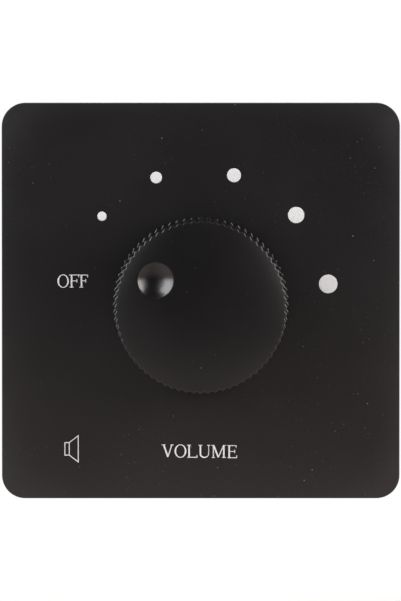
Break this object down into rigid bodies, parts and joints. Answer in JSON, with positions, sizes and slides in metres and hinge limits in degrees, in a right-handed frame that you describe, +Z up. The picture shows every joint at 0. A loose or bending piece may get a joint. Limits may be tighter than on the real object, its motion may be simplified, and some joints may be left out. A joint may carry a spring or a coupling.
{
  "type": "wall volume control",
  "caption": "Square black wall plate with a large ribbed volume knob, a dotted scale, and a rotary switch, tapped transformer and screw terminals behind it.",
  "frame": {"origin": "on the knob's axis, in the wall plane, midway between the box screw slots", "axes": "+Z up, +Y into the wall, +X to the right as seen from the front"},
  "size_m": [0.086, 0.0692, 0.0854],
  "materials": {
    "black_moulding": "satin",
    "print": "matt ink",
    "spring_steel": "bright",
    "plated_steel": "zinc plated",
    "nickel_brass": "turned",
    "zinc_casting": "die cast",
    "grey_moulding": "matt",
    "ivory_moulding": "matt",
    "phenolic": "matt",
    "contact_metal": "plated",
    "board": "solder mask",
    "lamination": "varnished",
    "copper": "enamelled",
    "yellow_tape": "film",
    "green_moulding": "matt"
  },
  "bodies": {
    "base": {"faceplate": "black_moulding", "scale_print": "print", "panel_nut": "nickel_brass", "panel_washer": "plated_steel", "frame_nut": "nickel_brass", "lock_washer": "plated_steel", "carrier_frame": "plated_steel", "frame_screws": "plated_steel", "standoffs": "nickel_brass", "board_screws": "plated_steel", "circuit_board": "board", "switch_bushing": "zinc_casting", "switch_housing": "grey_moulding", "switch_screws": "plated_steel", "stop_ring": "plated_steel", "detent_spring": "spring_steel", "contact_wafer": "phenolic", "step_contacts": "contact_metal", "common_contact": "contact_metal", "transformer_core": "lamination", "bobbin": "grey_moulding", "winding": "copper", "winding_tape": "yellow_tape", "transformer_clamp": "plated_steel", "transformer_pins": "contact_metal", "terminal_block": "green_moulding", "contact_bars": "contact_metal"},
    "dial": {"knob": "black_moulding", "knob_clip": "spring_steel", "switch_shaft": "plated_steel", "shaft_clip": "spring_steel", "detent_wheel": "ivory_moulding", "contact_rotor": "ivory_moulding", "wiper": "contact_metal"},
    "clamp_screw_1": {"terminal_screw_1": "plated_steel"},
    "clamp_cage_1": {"terminal_cage_1": "nickel_brass"},
    "clamp_screw_2": {"terminal_screw_2": "plated_steel"},
    "clamp_cage_2": {"terminal_cage_2": "nickel_brass"},
    "clamp_screw_3": {"terminal_screw_3": "plated_steel"},
    "clamp_cage_3": {"terminal_cage_3": "nickel_brass"},
    "clamp_screw_4": {"terminal_screw_4": "plated_steel"},
    "clamp_cage_4": {"terminal_cage_4": "nickel_brass"}
  },
  "joints": [
    {"name": "knob_turn", "type": "hinge", "parent": "base", "child": "dial", "pos_m": [0, 0, 0], "axis": [0, 1, 0], "range_deg": [-22.1, 141.5]},
    {"name": "terminal_turn_1", "type": "hinge", "parent": "base", "child": "clamp_screw_1", "pos_m": [-0.01143, 0.03, -0.0266], "axis": [0, -1, 0], "range_deg": [0, 1800]},
    {"name": "cage_rise_1", "type": "slide", "parent": "base", "child": "clamp_cage_1", "axis": [0, 1, 0], "range_m": [0, 0.0025]},
    {"name": "terminal_turn_2", "type": "hinge", "parent": "base", "child": "clamp_screw_2", "pos_m": [-0.00381, 0.03, -0.0266], "axis": [0, -1, 0], "range_deg": [0, 1800]},
    {"name": "cage_rise_2", "type": "slide", "parent": "base", "child": "clamp_cage_2", "axis": [0, 1, 0], "range_m": [0, 0.0025]},
    {"name": "terminal_turn_3", "type": "hinge", "parent": "base", "child": "clamp_screw_3", "pos_m": [0.00381, 0.03, -0.0266], "axis": [0, -1, 0], "range_deg": [0, 1800]},
    {"name": "cage_rise_3", "type": "slide", "parent": "base", "child": "clamp_cage_3", "axis": [0, 1, 0], "range_m": [0, 0.0025]},
    {"name": "terminal_turn_4", "type": "hinge", "parent": "base", "child": "clamp_screw_4", "pos_m": [0.01143, 0.03, -0.0266], "axis": [0, -1, 0], "range_deg": [0, 1800]},
    {"name": "cage_rise_4", "type": "slide", "parent": "base", "child": "clamp_cage_4", "axis": [0, 1, 0], "range_m": [0, 0.0025]}
  ],
  "couplings": [
    {"joint": "terminal_turn_1", "follows": "cage_rise_1", "rad_per_m": 12566},
    {"joint": "terminal_turn_2", "follows": "cage_rise_2", "rad_per_m": 12566},
    {"joint": "terminal_turn_3", "follows": "cage_rise_3", "rad_per_m": 12566},
    {"joint": "terminal_turn_4", "follows": "cage_rise_4", "rad_per_m": 12566}
  ]
}
